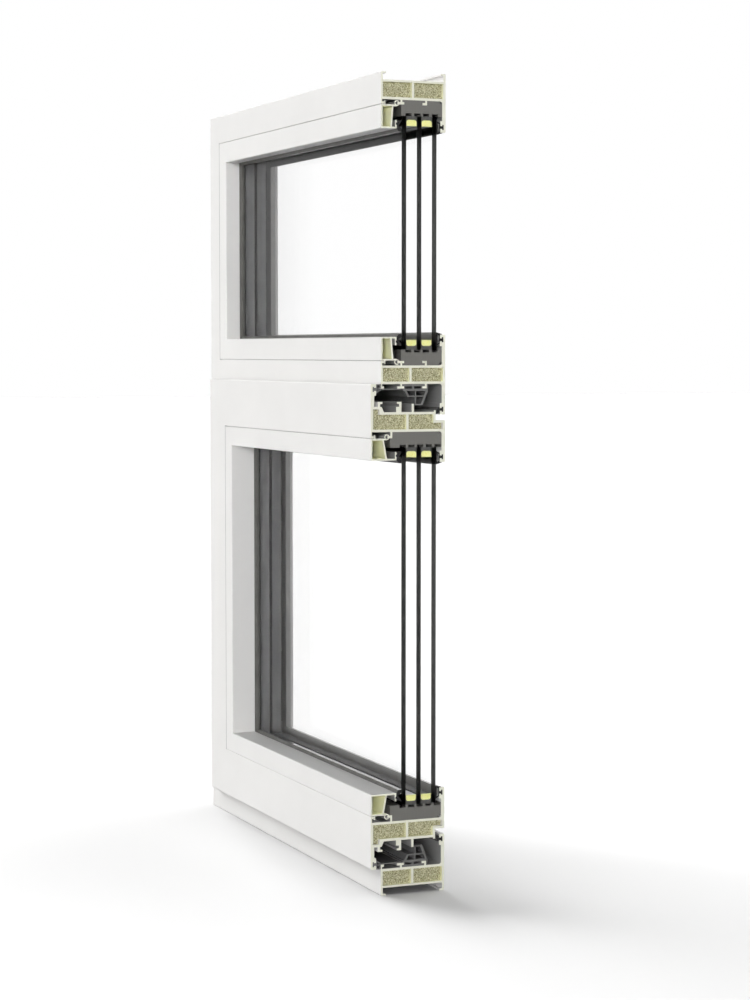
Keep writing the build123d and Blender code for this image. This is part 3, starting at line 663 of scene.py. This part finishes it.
def white_to_eye(tree):
    """1 for what the camera sees, straight or by way of glass and gloss, and 0 for other light."""
    path = tree.nodes.new("ShaderNodeLightPath")
    seen = math_node(tree, "MAXIMUM", path.outputs["Is Camera Ray"], path.outputs["Is Glossy Ray"])
    seen = math_node(tree, "MAXIMUM", seen, path.outputs["Is Transmission Ray"])
    straight = math_node(tree, "LESS_THAN", path.outputs["Diffuse Depth"], 0.5)
    return math_node(tree, "MULTIPLY", seen, straight)


def add_floor():
    """A pale floor that looks white where it is lit and keeps the soft shadow; gives its object."""
    half = FLOOR_SIZE / 2
    mesh = bpy.data.meshes.new("floor")
    corners = [(-half, -half, 0), (half, -half, 0), (half, half, 0), (-half, half, 0)]
    mesh.from_pydata(corners, [], [(0, 1, 2, 3)])
    floor = bpy.data.objects.new("floor", mesh)
    bpy.context.scene.collection.objects.link(floor)
    material, tree, shader = new_finish("pale_floor")
    eye = white_to_eye(tree)
    tree.links.new(mix_values(tree, eye, FLOOR_BOUNCE, FLOOR_TONE), shader.inputs["Base Color"])
    shader.inputs["Roughness"].default_value = 1.0
    shader.inputs["Specular IOR Level"].default_value = 0.0
    shader.inputs["Emission Color"].default_value = (1.0, 1.0, 1.0, 1.0)
    through = tree.nodes.new("ShaderNodeLightPath").outputs["Is Transmission Ray"]
    lost = AMBIENT * (1.0 - THROUGH_GLASS) * FLOOR_TONE
    glow = math_node(tree, "MULTIPLY", math_node(tree, "MULTIPLY", eye, through), lost)
    tree.links.new(glow, shader.inputs["Emission Strength"])
    mesh.materials.append(material)
    return floor


def add_light(floor):
    """A white room of even light, and soft lamps.

    Three lamps light everything. The high rail lamp lights level rails alone, for the shade under
    the sash, and the bead lamp lights all other nodes. Two light the floor alone, for its shadow.
    """
    world = bpy.data.worlds.new("white_room")
    world.use_nodes = True
    tree = world.node_tree
    sky = tree.nodes["Background"]
    sky.inputs["Color"].default_value = (1.0, 1.0, 1.0, 1.0)
    depth = tree.nodes.new("ShaderNodeLightPath").outputs["Transmission Depth"]
    unglazed = math_node(tree, "LESS_THAN", depth, 0.5)
    soft = mix_values(tree, unglazed, AMBIENT * THROUGH_GLASS, AMBIENT)
    tree.links.new(math_node(tree, "MAXIMUM", white_to_eye(tree), soft), sky.inputs["Strength"])
    bpy.context.scene.world = world
    add_lamp("key", KEY_FROM, KEY_STRENGTH, LAMP_SPREAD)
    add_lamp("room", ROOM_FROM, ROOM_STRENGTH, LAMP_SPREAD)
    add_lamp("fill", FILL_FROM, FILL_STRENGTH, LAMP_SPREAD)
    level = [name for name in nodes if name.endswith(("_frame", "_rail")) and "left" not in name]
    rails = [nodes[name] for name in level]
    others = [piece for name, piece in nodes.items() if name not in level]
    light_only(add_lamp("rail", RAIL_FROM, RAIL_STRENGTH, LAMP_SPREAD), rails)
    light_only(add_lamp("bead", BEAD_FROM, BEAD_STRENGTH, LAMP_SPREAD), others)
    light_only(add_lamp("overhead", OVERHEAD_FROM, OVERHEAD_STRENGTH, OVERHEAD_SPREAD), [floor])
    light_only(add_lamp("shadow", SHADOW_FROM, SHADOW_STRENGTH, SHADOW_SPREAD), [floor])


def light_only(holder, pieces):
    """Keeps a lamp's light to some pieces; its shadows still come from all of them."""
    lit = bpy.data.collections.new(holder.name + "_lit")
    for piece in pieces:
        lit.objects.link(piece)
    holder.light_linking.receiver_collection = lit


def add_lamp(name, source, strength, spread):
    """A wide soft lamp, far off in one direction; gives its object."""
    lamp = bpy.data.lights.new(name, "SUN")
    lamp.energy = strength
    lamp.angle = radians(spread)
    holder = bpy.data.objects.new(name, lamp)
    holder.rotation_euler = Vector(source).to_track_quat("Z", "Y").to_euler()
    bpy.context.scene.collection.objects.link(holder)
    return holder


def add_camera():
    """The camera, turned about Z by its azimuth and raised by its elevation."""
    azimuth = radians(CAMERA_AZIMUTH)
    elevation = radians(CAMERA_ELEVATION)
    right = Vector((cos(azimuth), sin(azimuth), 0.0))
    back = Vector((sin(azimuth) * cos(elevation), -cos(azimuth) * cos(elevation), sin(elevation)))
    turn = Matrix((right, back.cross(right), back)).transposed().to_4x4()
    lens = bpy.data.cameras.new("camera")
    lens.sensor_fit = "VERTICAL"
    lens.sensor_height = SENSOR_HEIGHT
    lens.lens = CAMERA_LENS
    camera = bpy.data.objects.new("camera", lens)
    camera.matrix_world = Matrix.Translation(CAMERA_PLACE) @ turn
    bpy.context.scene.collection.objects.link(camera)
    bpy.context.scene.camera = camera


bpy.context.scene.view_settings.view_transform = "Standard"
dress_nodes()
for rail in ("head", "transom", "sash_top_rail", "sash_bottom_rail", "sill"):
    foam_face(rail + "_foam")
add_light(add_floor())
add_camera()
